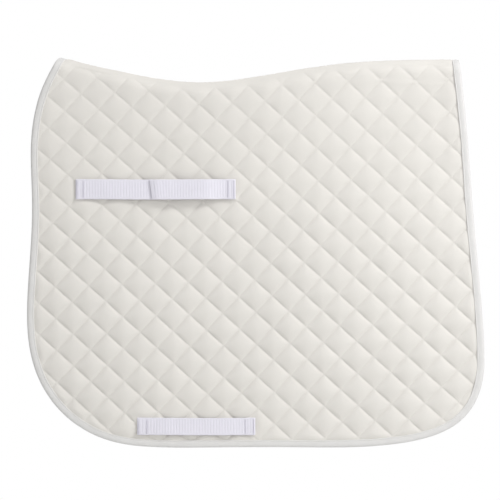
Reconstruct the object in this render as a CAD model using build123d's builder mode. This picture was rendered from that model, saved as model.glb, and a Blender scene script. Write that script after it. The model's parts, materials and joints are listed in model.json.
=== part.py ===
"""Contoured dressage saddle pad: a quilted two-sided pad that hangs from its spine.

X runs from the front edge to the rear edge, Y from the near (left) side to the
off (right) side, and Z is up. The origin is under the spine at its lowest point,
where the pad rests on a horse's back or a saddle rack. Both sides hang straight
down, and each can be lifted about its own fold line beside the spine.
"""

import os
from math import cos, radians, sin

from build123d import *

os.makedirs("parts", exist_ok=True)

# ------------------------------------------------------------------ sizes, mm
# Side view, measured from the top of the spine at its lowest point
front_reach = 252.0  # forward to the front edge where it is widest
rear_reach = 410.0  # back to the rear edge where it is widest
drop = 526.0  # down to the bottom edge
front_spine = 197.0  # forward to the front end of the spine
rear_spine = 365.0  # back to the rear end of the spine
front_rise = 35.5  # height of the spine at its front end
rear_rise = 34.2  # height of the spine at its rear end
front_corner_start = 335.0  # depth at which the front edge begins to turn under
rear_corner_start = 371.0  # depth at which the rear edge begins to turn under
front_corner_end = 60.0  # forward to where the front corner meets the bottom edge
rear_corner_end = 143.0  # back to where the rear corner meets the bottom edge
front_squareness = 2.27  # 2 is a plain ellipse, more is squarer
rear_squareness = 3.47

# Layers
cloth = 0.8  # face cloth and lining, each
wadding = 7.4  # filling between them
tape = 1.2  # folded binding tape, one layer
seam_tape = 1.0  # tape that covers the spine seam inside
seam_tape_width = 24.0
binding_width = 10.0  # how far the binding reaches in from the edge

# Fold at the spine
half_gap = 12.0  # half the space between the two linings
fold_depth = 30.0  # fold lines below the origin
clearance = 0.3  # between pieces that move past each other

# Straps
webbing = 1.6  # thickness of the webbing
loop_gap = 6.0  # room between a strap and the face cloth
tack_width = 2.0  # bar of close stitching across a sewn end
tack_height = 0.5
tack_inset = 3.0  # from the ends of the sewn length and from the strap's edges

billet_width = 29.0
billet_depth = 152.5  # middle of the strap below the top of the spine
billet_front = -182.0  # front end
billet_rear = 51.0  # rear end
billet_sewn = 15.0  # length sewn down at each end
billet_ramp = 20.0  # length in which the front half leaves the face cloth
billet_free_end = -72.0  # where the rear half ends on top of the front half
billet_overlap = 60.0  # how far the halves overlap
patch_length = 50.0  # hook and loop patches
patch_width = 25.0
patch = 1.0  # thickness of each patch

girth_width = 25.0
girth_height = 30.5  # middle of the strap above the bottom edge
girth_front = -93.0  # front end
girth_rear = 79.5  # rear end
girth_sewn = 18.0  # length sewn down at each end
girth_ramp = 18.0  # length in which the strap leaves the face cloth

# ------------------------------------------------------------- derived sizes
pad = wadding + 2 * cloth  # whole thickness
crown = seam_tape + pad  # top of the spine at its lowest point
middle = half_gap + pad / 2  # each side's mid-plane, out from the centre
face = half_gap + pad  # face cloth's outer surface, out from the centre
fold_z = -fold_depth
ridge_foot = fold_z + pad / 2 + tape + clearance  # where the spine's sides end
length = front_reach + rear_reach
margin = 60.0  # stock beyond the outline, cut away by it
top_margin = 85.0  # the same above the spine
edge_steps = 48  # spans of the edge curve
front_lean = -0.2966  # where the edges pass the stock's top, as shares of the way out
rear_lean = 0.1162
seam_tape_chord = 2 * half_gap * sin(seam_tape_width / 2 / half_gap)  # straight across the arch


billet_z = crown - billet_depth
hinge_x = billet_rear - billet_sewn  # where the rear half turns when it is opened
under_end = billet_free_end + billet_overlap  # end of the front half, covered
patch_front = billet_free_end + (billet_overlap - patch_length) / 2
patch_rear = patch_front + patch_length
loop_seat = face + loop_gap + webbing
hook_seat = loop_seat + patch + clearance
over_seat = hook_seat + patch
girth_z = crown - drop + girth_height

# Straps seen from above: along the pad, and out from its centre
billet_under_path = [
    (billet_front, face),
    (billet_front + billet_sewn, face),
    (billet_front + billet_sewn + billet_ramp, face + loop_gap),
    (under_end, face + loop_gap),
]
billet_over_path = [(billet_free_end, over_seat), (under_end, over_seat), (hinge_x, face)]
billet_end_path = [(hinge_x + clearance, face), (billet_rear, face)]
loop_path = [(patch_front, loop_seat), (patch_rear, loop_seat)]
hook_path = [(patch_front, hook_seat), (patch_rear, hook_seat)]
girth_path = [
    (girth_front, face),
    (girth_front + girth_sewn, face),
    (girth_front + girth_sewn + girth_ramp, face + loop_gap),
    (girth_rear - girth_sewn - girth_ramp, face + loop_gap),
    (girth_rear - girth_sewn, face),
    (girth_rear, face),
]

side_plane = Plane(origin=(0, 0, crown), x_dir=(1, 0, 0), z_dir=(0, -1, 0))
end_plane = Plane.YZ.offset(-front_reach - margin)
sides = (("near", -1), ("off", 1))


# --------------------------------------------------------------- the side view
def reach_out(spine, reach, share):
    """Part of the way from the end of the spine out to where the edge is widest."""
    return spine + (reach - spine) * share


def down_edge(spine, reach, stations):
    """Points of an edge: each station is a share of the way out and of the drop."""
    return [(reach_out(spine, reach, out), -drop * down) for out, down in stations]


def round_corner(start, across, down, squareness):
    """Points of a corner that turns from upright to level; 2 would be an ellipse."""
    points = []
    for angle in (20, 40, 55, 70):
        beside = across * cos(radians(angle)) ** (2 / squareness)
        below = down * sin(radians(angle)) ** (2 / squareness)
        points.append((start + beside, below))
    return points


def move_in(edge, along, inset):
    """Point part of the way along the edge, moved square to it into the pad."""
    heading = edge % along
    return edge @ along + inset * Vector(-heading.Y, heading.X)


def draw_side(inset=0.0):
    """One side of the pad, open above the spine, with its edge moved in by inset."""
    front_edge = down_edge(
        -front_spine,
        -front_reach,
        [(0.1615, -0.077), (0.528, -0.008), (0.8946, 0.160), (0.867, 0.320), (0.949, 0.518)],
    )
    rear_edge = down_edge(
        rear_spine,
        rear_reach,
        [(0.2164, -0.068), (0.362, 0.047), (0.535, 0.215), (0.617, 0.314), (0.80, 0.490)],
    )
    front_turn = drop - front_corner_start
    rear_turn = drop - rear_corner_start
    front_corner = [
        (x, z - front_corner_start)
        for x, z in round_corner(
            -front_corner_end, front_corner_end - front_reach, -front_turn, front_squareness
        )
    ]
    rear_corner = [
        (x, z - rear_corner_start)
        for x, z in round_corner(
            rear_corner_end, rear_reach - rear_corner_end, -rear_turn, rear_squareness
        )
    ]
    front_top = (reach_out(-front_spine, -front_reach, front_lean), top_margin)
    rear_top = (reach_out(rear_spine, rear_reach, rear_lean), top_margin)
    with BuildSketch(side_plane) as outline:
        with BuildLine():
            edge = Spline(
                front_top,
                *front_edge,
                (-front_reach, -front_corner_start),
                *front_corner,
                (-front_corner_end, -drop),
                ((rear_corner_end - front_corner_end) / 2, -drop),
                (rear_corner_end, -drop),
                *reversed(rear_corner),
                (rear_reach, -rear_corner_start),
                *reversed(rear_edge),
                rear_top,
                mode=Mode.PRIVATE,
            )
            rim = Spline([move_in(edge, step / edge_steps, inset) for step in range(edge_steps + 1)])
            Line(rim @ 1, rim @ 0)
        make_face()
    return outline.sketch


def cut_to_side(inset=0.0, mode=Mode.INTERSECT):
    """Keep, or take away, what lies inside the side view."""
    extrude(draw_side(inset), amount=2 * face, both=True, mode=mode)


# ------------------------------------------------------------------- the spine
with BuildLine(side_plane) as spine_line:
    # Dips behind the withers and levels out towards the rear
    Spline(
        (-front_spine - margin, front_rise * 1.41),
        (-front_spine, front_rise),
        (-0.6 * front_spine, 0.49 * front_rise),
        (0, 0),
        (0.286 * rear_spine, 0.35 * rear_rise),
        (0.552 * rear_spine, 0.80 * rear_rise),
        (0.80 * rear_spine, 0.98 * rear_rise),
        (rear_spine, rear_rise),
        (rear_spine + margin, rear_rise),
    )
spine_start = spine_line.line @ 0
spine_section = Plane(origin=spine_start, x_dir=(0, 1, 0), z_dir=(1, 0, 0))


def sweep_fold(outer, inner):
    """A layer of the fold, an arch with straight legs, carried along the spine."""
    leg = drop / 2
    with BuildSketch(spine_section) as arch:
        # The arch's centre is a face width below the top of the spine
        with Locations((0, -face)):
            Circle(outer)
            Rectangle(2 * outer, leg, align=(Align.CENTER, Align.MAX))
            Circle(inner, mode=Mode.SUBTRACT)
            Rectangle(2 * inner, leg, align=(Align.CENTER, Align.MAX), mode=Mode.SUBTRACT)
    sweep(arch.sketch, path=spine_line.line, normal=(1, 0, 0))


def cut_above_fold():
    """Keep what lies above the foot of the spine."""
    with BuildSketch(Plane.XY.offset(ridge_foot)) as above:
        Rectangle(3 * length, 4 * face)
    extrude(above.sketch, amount=drop, mode=Mode.INTERSECT)


def write(part, label):
    """Name a finished piece and save it."""
    part.label = label
    export_step(part, f"parts/{label}.step")


with BuildPart() as spine_face_cloth:
    sweep_fold(face, face - cloth)
    cut_to_side(tape)
    cut_above_fold()

with BuildPart() as spine_wadding:
    sweep_fold(face - cloth, half_gap + cloth)
    cut_to_side(tape)
    cut_above_fold()

with BuildPart() as spine_lining:
    sweep_fold(half_gap + cloth, half_gap)
    cut_to_side(tape)
    cut_above_fold()

with BuildPart() as spine_seam_tape:
    with BuildSketch(spine_section):
        with Locations((0, -face)):
            Circle(half_gap)
            Circle(half_gap - seam_tape, mode=Mode.SUBTRACT)
            Rectangle(seam_tape_chord, face, align=(Align.CENTER, Align.MIN), mode=Mode.INTERSECT)
    sweep(path=spine_line.line, normal=(1, 0, 0))
    cut_to_side(binding_width)

with BuildPart() as spine_core:
    sweep_fold(face, half_gap)
    cut_to_side(tape)

with BuildPart() as spine_binding:
    sweep_fold(face + tape, half_gap - tape)
    cut_to_side()
    cut_to_side(binding_width, Mode.SUBTRACT)
    add(spine_core.part, mode=Mode.SUBTRACT)
    cut_above_fold()

front_end, rear_end = spine_binding.part.solids().sort_by(Axis.X)

write(spine_face_cloth.part, "spine_face_cloth")
write(spine_wadding.part, "spine_wadding")
write(spine_lining.part, "spine_lining")
write(spine_seam_tape.part, "spine_seam_tape")
write(front_end, "front_spine_binding")
write(rear_end, "rear_spine_binding")


# ------------------------------------------------------------------- each side
def extrude_end(end):
    """Carry a drawing of the pad's end from front to rear, past the outline."""
    extrude(end, amount=length + 2 * margin)


def hang_leaf(side, outer, inner):
    """A layer that hangs from the fold line, between two distances from the centre."""
    with BuildSketch(end_plane) as strip:
        with Locations((side * outer, fold_z)):
            corner = Align.MIN if side < 0 else Align.MAX
            Rectangle(outer - inner, 2 * drop, align=(corner, Align.MAX))
    extrude_end(strip.sketch)


def round_fold(side, radius):
    """Round the top of a leaf about its fold line."""
    with BuildSketch(end_plane) as half_disc:
        with Locations((side * middle, fold_z)):
            Circle(radius)
            Rectangle(2 * radius, radius, align=(Align.CENTER, Align.MIN), mode=Mode.INTERSECT)
    extrude_end(half_disc.sketch)


def lay_strap(side, path, middle_z, width, thickness):
    """Tape of the given width that follows a path of (along, out) points seen from above."""
    inner = [(along, side * out) for along, out in path]
    outer = [(along, side * (out + thickness)) for along, out in reversed(path)]
    with BuildSketch(Plane.XY.offset(middle_z - width / 2)) as plan:
        with BuildLine():
            Polyline(*inner, *outer, close=True)
        make_face()
    extrude(plan.sketch, amount=width)


def lay_tacks(side, front, rear, middle_z, width):
    """Two bars of close stitching across a sewn end that runs from front to rear."""
    with BuildSketch(Plane.XZ.offset(-side * (face + webbing))) as bars:
        with Locations((front + tack_inset, middle_z), (rear - tack_inset, middle_z)):
            Rectangle(tack_width, width - 2 * tack_inset)
    extrude(bars.sketch, amount=-side * tack_height)


for name, side in sides:
    # The quilted side itself
    with BuildPart() as face_cloth:
        hang_leaf(side, face, face - cloth)
        cut_to_side(tape)
    write(face_cloth.part, f"{name}_face_cloth")

    with BuildPart() as filling:
        hang_leaf(side, face - cloth, half_gap + cloth)
        round_fold(side, pad / 2)
        cut_to_side(tape)
    write(filling.part, f"{name}_wadding")

    with BuildPart() as lining:
        hang_leaf(side, half_gap + cloth, half_gap)
        cut_to_side(tape)
    write(lining.part, f"{name}_lining")

    # The binding wraps the edge of all three layers
    with BuildPart() as core:
        hang_leaf(side, face, half_gap)
        round_fold(side, pad / 2)
        cut_to_side(tape)

    with BuildPart() as edge_binding:
        hang_leaf(side, face + tape, half_gap - tape)
        round_fold(side, pad / 2 + tape)
        cut_to_side()
        cut_to_side(binding_width, Mode.SUBTRACT)
        add(core.part, mode=Mode.SUBTRACT)
    write(edge_binding.part, f"{name}_edge_binding")

    # The girth strap is sewn down at both ends and bows out between them
    with BuildPart() as girth_strap:
        lay_strap(side, girth_path, girth_z, girth_width, webbing)
    write(girth_strap.part, f"{name}_girth_strap")

    with BuildPart() as girth_tacks:
        lay_tacks(side, girth_front, girth_front + girth_sewn, girth_z, girth_width)
        lay_tacks(side, girth_rear - girth_sewn, girth_rear, girth_z, girth_width)
    write(girth_tacks.part, f"{name}_girth_strap_tacks")

    # The billet strap is two halves that close on each other
    with BuildPart() as billet_under:
        lay_strap(side, billet_under_path, billet_z, billet_width, webbing)
    write(billet_under.part, f"{name}_billet_strap_front")

    with BuildPart() as billet_front_tacks:
        lay_tacks(side, billet_front, billet_front + billet_sewn, billet_z, billet_width)
    write(billet_front_tacks.part, f"{name}_billet_front_tacks")

    with BuildPart() as loop_patch:
        lay_strap(side, loop_path, billet_z, patch_width, patch)
    write(loop_patch.part, f"{name}_billet_loop_patch")

    with BuildPart() as billet_over:
        lay_strap(side, billet_over_path, billet_z, billet_width, webbing)
    write(billet_over.part, f"{name}_billet_strap_rear")

    with BuildPart() as hook_patch:
        lay_strap(side, hook_path, billet_z, patch_width, patch)
    write(hook_patch.part, f"{name}_billet_hook_patch")

    with BuildPart() as billet_end:
        lay_strap(side, billet_end_path, billet_z, billet_width, webbing)
    write(billet_end.part, f"{name}_billet_strap_rear_end")

    with BuildPart() as billet_rear_tacks:
        lay_tacks(side, hinge_x + clearance, billet_rear, billet_z, billet_width)
    write(billet_rear_tacks.part, f"{name}_billet_rear_tacks")
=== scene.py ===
"""A contoured dressage saddle pad, hung from its spine: two quilted sides, a
bound edge, and on each side a billet strap and a girth strap of ribbed webbing."""
import json
import math

import bpy
import numpy as np
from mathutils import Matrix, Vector
from mathutils.bvhtree import BVHTree


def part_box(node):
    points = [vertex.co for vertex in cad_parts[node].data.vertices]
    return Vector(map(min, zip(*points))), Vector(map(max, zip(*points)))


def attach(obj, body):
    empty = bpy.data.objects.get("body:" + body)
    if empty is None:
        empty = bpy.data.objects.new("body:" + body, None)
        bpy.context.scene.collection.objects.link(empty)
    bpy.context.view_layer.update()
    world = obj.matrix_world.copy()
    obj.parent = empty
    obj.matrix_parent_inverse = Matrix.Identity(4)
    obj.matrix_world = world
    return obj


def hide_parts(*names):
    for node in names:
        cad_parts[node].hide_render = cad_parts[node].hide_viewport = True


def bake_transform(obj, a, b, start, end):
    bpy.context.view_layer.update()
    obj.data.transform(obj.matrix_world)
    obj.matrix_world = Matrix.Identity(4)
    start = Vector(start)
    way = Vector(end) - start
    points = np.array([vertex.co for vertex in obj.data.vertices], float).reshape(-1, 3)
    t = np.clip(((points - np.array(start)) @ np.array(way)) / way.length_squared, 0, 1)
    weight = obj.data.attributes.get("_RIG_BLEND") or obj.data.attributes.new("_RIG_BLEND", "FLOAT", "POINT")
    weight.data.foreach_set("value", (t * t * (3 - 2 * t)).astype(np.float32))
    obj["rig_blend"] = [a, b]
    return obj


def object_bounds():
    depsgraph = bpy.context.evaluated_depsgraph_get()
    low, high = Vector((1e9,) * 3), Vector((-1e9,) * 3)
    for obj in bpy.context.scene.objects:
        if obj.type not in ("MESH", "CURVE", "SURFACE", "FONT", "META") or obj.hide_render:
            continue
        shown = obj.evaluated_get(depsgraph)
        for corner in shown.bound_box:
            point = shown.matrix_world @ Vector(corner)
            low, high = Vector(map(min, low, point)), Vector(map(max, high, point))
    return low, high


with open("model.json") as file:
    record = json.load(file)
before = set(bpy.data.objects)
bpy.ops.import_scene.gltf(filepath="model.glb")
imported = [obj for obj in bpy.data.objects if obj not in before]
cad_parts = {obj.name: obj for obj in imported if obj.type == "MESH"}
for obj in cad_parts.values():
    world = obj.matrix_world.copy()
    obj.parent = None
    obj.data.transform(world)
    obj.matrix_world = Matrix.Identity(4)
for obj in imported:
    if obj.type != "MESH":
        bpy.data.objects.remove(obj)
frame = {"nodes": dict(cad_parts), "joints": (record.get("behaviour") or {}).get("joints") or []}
cad_box = [list(corner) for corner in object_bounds()]

MM = 0.001
SIDES = (("near", -1), ("off", 1))

# ------------------------------------------------------------ camera and light
LENS = 198.0
CAMERA_DISTANCE = 4.0
PICTURE_CENTRE = (0.0711, -0.2302)
FLOOR_DROP = 0.33
FLOOR_RADIUS = 2.2
FLOOR_GREY = (0.86, 0.86, 0.85, 1)
AMBIENT, AMBIENT_BEHIND = 0.624, 0.24
BEHIND, IN_FRONT = 0.5, -0.7  # how far towards +y the dim and the bright surroundings begin
# Name, direction from the pad, distance in m, size in m, power in W.
LIGHTS = (
    ("key", (0.62, -0.42, 0.68), 3.6, 0.7, 72.0),
    ("fill", (0.75, -1.0, 0.2), 1.2, 0.9, 2.5),
    ("back_key", (-0.62, 0.55, 0.62), 1.9, 0.8, 16.0),
)


def set_camera():
    """Square on to the near side, from far off, so that the outline isn't foreshortened."""
    lens = bpy.data.cameras.new("camera")
    lens.lens = LENS
    lens.sensor_width = 36.0
    camera = bpy.data.objects.new("camera", lens)
    camera.location = (PICTURE_CENTRE[0], -CAMERA_DISTANCE, PICTURE_CENTRE[1])
    camera.rotation_euler = (math.radians(90), 0, 0)
    bpy.context.scene.collection.objects.link(camera)
    bpy.context.scene.camera = camera


def add_area_light(name, towards, distance, size, power):
    """A square soft light that aims at the middle of the pad from a given direction."""
    aim = Vector((PICTURE_CENTRE[0], 0, PICTURE_CENTRE[1]))
    data = bpy.data.lights.new(name, "AREA")
    data.energy = power
    data.size = size
    light = bpy.data.objects.new(name, data)
    light.location = aim + Vector(towards).normalized() * distance
    light.rotation_euler = (aim - light.location).to_track_quat("-Z", "Y").to_euler()
    bpy.context.scene.collection.objects.link(light)


def set_surroundings():
    """Surroundings that are seen as white, and light the front more than the back."""
    bpy.context.scene.view_settings.view_transform = "Standard"
    world = bpy.data.worlds.new("studio")
    bpy.context.scene.world = world
    world.use_nodes = True
    nodes, links = world.node_tree.nodes, world.node_tree.links
    nodes.clear()
    seen = nodes.new("ShaderNodeBackground")
    seen.inputs["Strength"].default_value = 1.0
    lit = nodes.new("ShaderNodeBackground")
    lit.inputs["Color"].default_value = (1.0, 0.998, 0.995, 1)
    facing = nodes.new("ShaderNodeTexCoord")
    parts = nodes.new("ShaderNodeSeparateXYZ")
    fade = nodes.new("ShaderNodeMapRange")
    fade.inputs["From Min"].default_value = BEHIND
    fade.inputs["From Max"].default_value = IN_FRONT
    fade.inputs["To Min"].default_value = AMBIENT_BEHIND
    fade.inputs["To Max"].default_value = AMBIENT
    links.new(facing.outputs["Generated"], parts.inputs[0])
    links.new(parts.outputs[1], fade.inputs["Value"])
    links.new(fade.outputs["Result"], lit.inputs["Strength"])
    path = nodes.new("ShaderNodeLightPath")
    mix = nodes.new("ShaderNodeMixShader")
    out = nodes.new("ShaderNodeOutputWorld")
    seen.inputs["Color"].default_value = (1, 1, 1, 1)
    links.new(path.outputs["Is Camera Ray"], mix.inputs[0])
    links.new(lit.outputs[0], mix.inputs[1])
    links.new(seen.outputs[0], mix.inputs[2])
    links.new(mix.outputs[0], out.inputs["Surface"])


def lay_floor():
    """A pale round floor below the pad."""
    bpy.ops.mesh.primitive_circle_add(vertices=96, radius=FLOOR_RADIUS, fill_type="NGON")
    floor = bpy.context.object
    floor.name = "studio_floor"
    floor.location = (PICTURE_CENTRE[0], 0, cad_box[0][2] - FLOOR_DROP)
    paint = bpy.data.materials.new("pale_floor")
    paint.use_nodes = True
    shader = paint.node_tree.nodes["Principled BSDF"]
    shader.inputs["Base Color"].default_value = FLOOR_GREY
    shader.inputs["Roughness"].default_value = 0.8
    floor.data.materials.append(paint)


set_camera()
set_surroundings()
for light in LIGHTS:
    add_area_light(*light)
lay_floor()

# --------------------------------------------------------- sizes from the frame
FACE = -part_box("near_face_cloth")[0].y  # outer surface of the face cloth, from the centre
HALF_GAP = -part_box("near_lining")[1].y
MIDDLE = (FACE + HALF_GAP) / 2
FOLD = next(j for j in frame["joints"] if j["name"] == "near_side_fold")["pos_m"][2]
BILLET_HINGE = next(j for j in frame["joints"] if j["name"] == "near_billet_opening")["pos_m"][0]
SPINE_LIFT = 3.3 * MM  # how much too low the CAD's spine is


def cad_surface(*names):
    """The surface of some CAD nodes, for finding points on."""
    points, faces = [], []
    for name in names:
        mesh = frame["nodes"][name].data
        first = len(points)
        points += [v.co.copy() for v in mesh.vertices]
        faces += [[first + i for i in polygon.vertices] for polygon in mesh.polygons]
    return BVHTree.FromPolygons(points, faces)


def spine_top():
    """Height of the top of the spine along it, with the CAD's spine put right."""
    surface = cad_surface("spine_face_cloth")
    low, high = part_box("spine_seam_tape")
    along = np.linspace(low.x, high.x, 120)
    heights = [surface.ray_cast(Vector((x, 0, 0.3)), Vector((0, 0, -1)))[0].z for x in along]
    return along, np.array(heights) + SPINE_LIFT


CROWN_X, CROWN_Z = spine_top()


def crown(x):
    """Top of the spine at x, carried straight on past its ends."""
    x = np.asarray(x, float)
    z = np.interp(x, CROWN_X, CROWN_Z)
    front = (CROWN_Z[4] - CROWN_Z[0]) / (CROWN_X[4] - CROWN_X[0])
    rear = (CROWN_Z[-1] - CROWN_Z[-5]) / (CROWN_X[-1] - CROWN_X[-5])
    z = np.where(x < CROWN_X[0], CROWN_Z[0] + front * (x - CROWN_X[0]), z)
    return np.where(x > CROWN_X[-1], CROWN_Z[-1] + rear * (x - CROWN_X[-1]), z)


# A side is drawn flat: x along the pad, v down it and round the fold, w out
# of its mid-surface. Above the arch's centre v is measured along the arch.
def arch_centre(x):
    return crown(x) - FACE


def seam_height(x):
    """v of the spine seam, where the two sides meet."""
    return arch_centre(x) + MIDDLE * math.pi / 2


def to_flat(x, z):
    """v of a point that shows at height z in the side view."""
    up = np.clip((z - arch_centre(x)) / MIDDLE, 0, 1)
    return np.where(up > 0, arch_centre(x) + MIDDLE * np.arcsin(up), z)


def hang(flat, side):
    """Flat points (x, v, w) of one side, in their place on the hung pad."""
    x, v, w = flat[:, 0], flat[:, 1], flat[:, 2]
    turn = np.clip((v - arch_centre(x)) / MIDDLE, 0, math.pi / 2)
    out = MIDDLE + w
    y = side * out * np.cos(turn)
    z = np.where(turn > 0, arch_centre(x) + out * np.sin(turn), v)
    return np.stack([x, y, z], axis=1)


OUTSIDE = {"front": -0.6, "rear": 0.8}  # x well past each end of the pad
INTO = {"front": 1, "rear": -1}  # which way along x leads from there into the pad
RIM_CENTRE = Vector((0.08, -MIDDLE, -0.24))  # the lower edge is seen whole from here
RIM_RAYS, RIM_REACH = 420, 0.8
END_MARGIN, END_STEP = 3 * MM, 4 * MM
FOLD_CLEAR = 6 * MM  # how far under the fold the lower edge is taken over


def trace_upright(end):
    """Points of the edge beside the spine at one end, from the top down."""
    surface = cad_surface(f"{end}_spine_binding")
    low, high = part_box(f"{end}_spine_binding")
    points = []
    for z in np.arange(high.z - END_MARGIN, low.z + END_MARGIN, -END_STEP):
        x = low.x if end == "front" else high.x
        for _ in range(2):  # the second time from the arch at the x found first
            up = np.clip((z - float(arch_centre(x))) / MIDDLE, 0, 0.999)
            y = -MIDDLE * math.sqrt(1 - up * up)
            hit = surface.ray_cast(Vector((OUTSIDE[end], y, z)), Vector((INTO[end], 0, 0)))[0]
            if hit is None:
                break
            x = hit.x
        if hit is not None:
            points.append((x, float(to_flat(x, z))))
    return points


def trace_edge():
    """The pad's edge, flat, from the front of the spine round the bottom to the rear."""
    front, rear = trace_upright("front"), trace_upright("rear")
    surface = cad_surface("near_edge_binding")
    height = FOLD - FOLD_CLEAR - RIM_CENTRE.z
    first = math.atan2(height, front[-1][0] - RIM_CENTRE.x)
    last = math.atan2(height, rear[-1][0] - RIM_CENTRE.x) + 2 * math.pi
    lower = []
    for angle in np.linspace(first, last, RIM_RAYS):
        heading = Vector((math.cos(angle), 0, math.sin(angle)))
        hit = surface.ray_cast(RIM_CENTRE + heading * RIM_REACH, -heading)[0]
        if hit is not None:
            lower.append((hit.x, hit.z))
    rim = np.array(front + lower + rear[::-1])
    tips = []
    for tip, inner in ((rim[0], rim[2]), (rim[-1], rim[-3])):
        slope = tip - inner
        reach = (float(seam_height(tip[0])) - tip[1]) / slope[1]
        tips.append(tip + slope * reach)
    return np.vstack([tips[0], rim, tips[1]])


def resample(points, spacing):
    """Evenly spaced points on a smooth line through the given ones."""
    steps = np.linalg.norm(np.diff(points, axis=0), axis=1)
    along = np.concatenate([[0], np.cumsum(steps)])
    count = int(round(along[-1] / spacing)) + 1
    even = np.linspace(0, along[-1], count)
    line = np.stack([np.interp(even, along, points[:, k]) for k in range(points.shape[1])], axis=1)
    reach = max(1, int(6 * MM / spacing))
    kernel = np.hanning(2 * reach + 3)[1:-1]
    kernel /= kernel.sum()
    padded = np.vstack([2 * line[0] - line[reach:0:-1], line, 2 * line[-1] - line[-2:-reach - 2:-1]])
    return np.stack([np.convolve(padded[:, k], kernel, "valid") for k in range(line.shape[1])], axis=1)


EDGE = resample(trace_edge(), 1.3 * MM)


def inward(line):
    """Unit normals of the edge line, pointing into the pad."""
    heading = np.gradient(line, axis=0)
    heading /= np.linalg.norm(heading, axis=1)[:, None]
    return np.stack([-heading[:, 1], heading[:, 0]], axis=1)


EDGE_IN = inward(EDGE)

# ------------------------------------------------------------- the quilted cloth
ORIGIN = np.array([23.3, -87.4]) * MM
ALONG_A = np.array([24.4, -22.5]) * MM
ALONG_B = np.array([23.5, 23.95]) * MM
STEPS = np.array([0, 0.035, 0.08, 0.15, 0.25, 0.37, 0.5, 0.63, 0.75, 0.85, 0.92, 0.965])
RIM = 2.0 * MM  # the cloth stops this far inside the binding's outer edge
SEAM_OUT, SEAM_IN = 1.5 * MM, -1.7 * MM
UNDER_TAPE = 2.15 * MM
PRESS_FADE = 4 * MM
PRESSED_RISE = 1.4 * MM  # the cloth under a strap's sewn end, above the seams
SPINE_BAND = 14 * MM
MEETING = 0.25 * MM  # half the gap where the two sides meet at the top
COVERED = 9.5 * MM  # how far in from the edge the binding lies on the cloth
ROWS_START = 10.5 * MM  # rows of stitches stay this far inside the edge
PUFF_OUT, PUFF_IN = 3.05 * MM, 2.3 * MM
DOME_SHARE, CRISP_SHARE = 0.78, 0.22  # a puff is a round dome and a flatter middle, added
TOP_FULLNESS, ADDED_FULLNESS = 0.60, 0.46  # the pad's own weight draws the top flatter
FULL_DEPTH = 0.4  # m below the spine where the puffs are fullest
DOME_POWER, CRISP_REACH = 0.8, 0.055
UNEVEN, PUCKER = 0.10, 0.05  # how much the cells differ in fullness, and how deep the puckers are
ON_SEAM = 0.01  # share of a cell that counts as the seam itself
STITCH_LIFT = 0.12 * MM

# How far the seams wander from a true lattice, in mm, along x and along v: the shares of the
# ten powers that quilt_point lists. They come from a least-squares fit.
DRIFT = (
    (2.95, 1.08, -4.14, -0.19, -0.13, -1.82, 1.68, -0.34, 1.66, 1.59),
    (-2.08, 1.26, 1.82, -1.52, 1.64, 1.57, -1.42, -3.08, 2.31, 0.39),
)


def quilt_point(s, t):
    """Flat position of a point of the diamond lattice; seams run where s or t is whole."""
    s, t = np.asarray(s, float), np.asarray(t, float)
    p = ORIGIN + s[..., None] * ALONG_A + t[..., None] * ALONG_B
    u, w = (p[..., 0] / MM - 80) / 330, (p[..., 1] / MM + 240) / 280
    powers = (1, u, w, u * u, u * w, w * w, u ** 3, u * u * w, u * w * w, w ** 3)
    drift = [sum(share * power for share, power in zip(shares, powers)) for shares in DRIFT]
    return p + np.stack(drift, axis=-1) * MM


def lattice_range():
    """Lowest and highest whole lattice places that the pad reaches, with one to spare."""
    low, high = LOOP.min(0), LOOP.max(0)
    corners = np.array([[x, v] for x in (low[0], high[0]) for v in (low[1], high[1])])
    places = np.linalg.solve(np.stack([ALONG_A, ALONG_B], axis=1), (corners - ORIGIN).T).T
    return np.floor(places.min(0)).astype(int) - 1, np.ceil(places.max(0)).astype(int) + 1


def nearest(points, line):
    """Distance from each point to a closely spaced line, and the line point's index."""
    distance = np.empty(len(points))
    index = np.empty(len(points), int)
    for first in range(0, len(points), 2000):
        part = points[first:first + 2000]
        gaps = ((part[:, None, :] - line[None, :, :]) ** 2).sum(-1)
        index[first:first + 2000] = gaps.argmin(1)
        distance[first:first + 2000] = np.sqrt(gaps.min(1))
    return distance, index


def inside(points, loop):
    """Which points lie inside a closed loop."""
    result = np.zeros(len(points), bool)
    x, y = points[:, 0], points[:, 1]
    for (x0, y0), (x1, y1) in zip(loop, np.roll(loop, -1, axis=0)):
        if y0 != y1:
            crosses = (y0 > y) != (y1 > y)
            result ^= crosses & (x < x0 + (y - y0) * (x1 - x0) / (y1 - y0))
    return result


def smooth_step(value, low, high):
    """Rises smoothly from 0 at low to 1 at high."""
    share = np.clip((value - low) / (high - low), 0, 1)
    return share * share * (3 - 2 * share)


def cloth_loop():
    """The cut edge of one side, flat: the bound edge, then back along the spine."""
    rim = EDGE + EDGE_IN * RIM
    below = rim[:, 1] < seam_height(rim[:, 0]) - MEETING
    rim = rim[below]
    along = np.linspace(rim[-1, 0], rim[0, 0], 900)[1:-1]
    top = np.stack([along, seam_height(along) - MEETING], axis=1)
    return np.vstack([rim, top])


LOOP = cloth_loop()
LOOP_FINE = resample(np.vstack([LOOP, LOOP[:1]]), 0.6 * MM)
EDGE_FINE = resample(EDGE, 0.6 * MM)

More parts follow.
